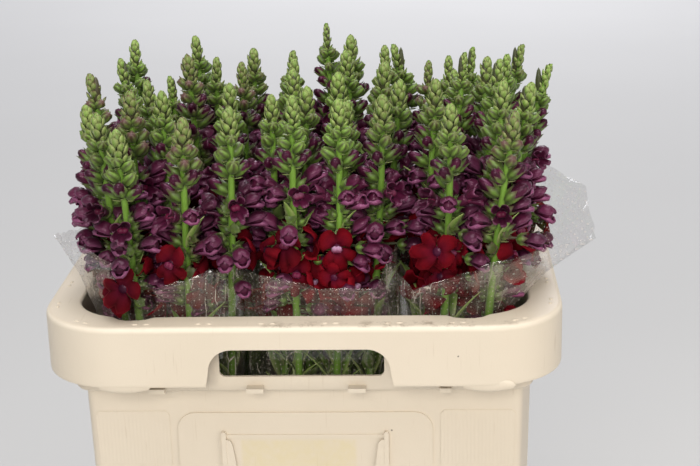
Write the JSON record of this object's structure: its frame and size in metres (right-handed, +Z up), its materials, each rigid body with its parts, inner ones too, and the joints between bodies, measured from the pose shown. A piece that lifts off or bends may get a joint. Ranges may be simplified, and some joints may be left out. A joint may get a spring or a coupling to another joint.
{
  "type": "container of cut snapdragons",
  "caption": "Tall rounded-rectangular flower container of cut snapdragons standing in water, bunched in clear film sleeves, with a hand grip through each long side of its rim.",
  "frame": {"origin": "centre of the container's flat underside", "axes": "+Z up, the way the spikes grow; -Y is the front, the long side with the card holder that faces the buyer; X runs along the long sides"},
  "size_m": [0.4739, 0.33, 0.617],
  "materials": {
    "container": "cream moulded polypropylene, satin, scuffed",
    "water": "clear water",
    "film": "clear perforated film, glossy and creased",
    "stem": "fresh green stem, calyx and leaf, slightly waxy",
    "petal": "deep crimson petals, velvety",
    "petal_tube": "mauve petal tubes and buds, soft"
  },
  "bodies": {
    "root": {"container": "container", "water": "water", "sleeve_front_left": "film", "sleeve_front_middle": "film", "sleeve_front_right": "film", "sleeve_back_left": "film", "sleeve_back_right": "film", "snapdragon_stem_01": "stem", "snapdragon_stem_02": "stem", "snapdragon_stem_03": "stem", "snapdragon_stem_04": "stem", "snapdragon_stem_05": "stem", "snapdragon_stem_06": "stem", "snapdragon_stem_07": "stem", "snapdragon_stem_08": "stem", "snapdragon_stem_09": "stem", "snapdragon_stem_10": "stem", "snapdragon_stem_11": "stem", "snapdragon_stem_12": "stem", "snapdragon_stem_13": "stem", "snapdragon_stem_14": "stem", "snapdragon_stem_15": "stem", "snapdragon_stem_16": "stem", "snapdragon_stem_17": "stem", "snapdragon_stem_18": "stem", "snapdragon_stem_19": "stem", "snapdragon_stem_20": "stem", "snapdragon_stem_21": "stem", "snapdragon_stem_22": "stem", "snapdragon_stem_23": "stem", "snapdragon_stem_24": "stem", "snapdragon_stem_25": "stem", "snapdragon_stem_26": "stem", "snapdragon_stem_27": "stem", "snapdragon_stem_28": "stem", "snapdragon_stem_29": "stem", "snapdragon_stem_30": "stem", "snapdragon_stem_31": "stem", "snapdragon_stem_32": "stem", "snapdragon_stem_33": "stem", "snapdragon_stem_34": "stem", "snapdragon_stem_35": "stem", "snapdragon_stem_36": "stem", "snapdragon_stem_37": "stem", "snapdragon_stem_38": "stem", "snapdragon_stem_39": "stem", "snapdragon_stem_40": "stem", "snapdragon_stem_41": "stem", "snapdragon_stem_42": "stem", "snapdragon_stem_43": "stem", "snapdragon_stem_44": "stem", "snapdragon_stem_45": "stem", "snapdragon_stem_46": "stem", "snapdragon_stem_47": "stem", "snapdragon_stem_48": "stem", "snapdragon_stem_49": "stem", "snapdragon_stem_50": "stem"}
  },
  "joints": []
}
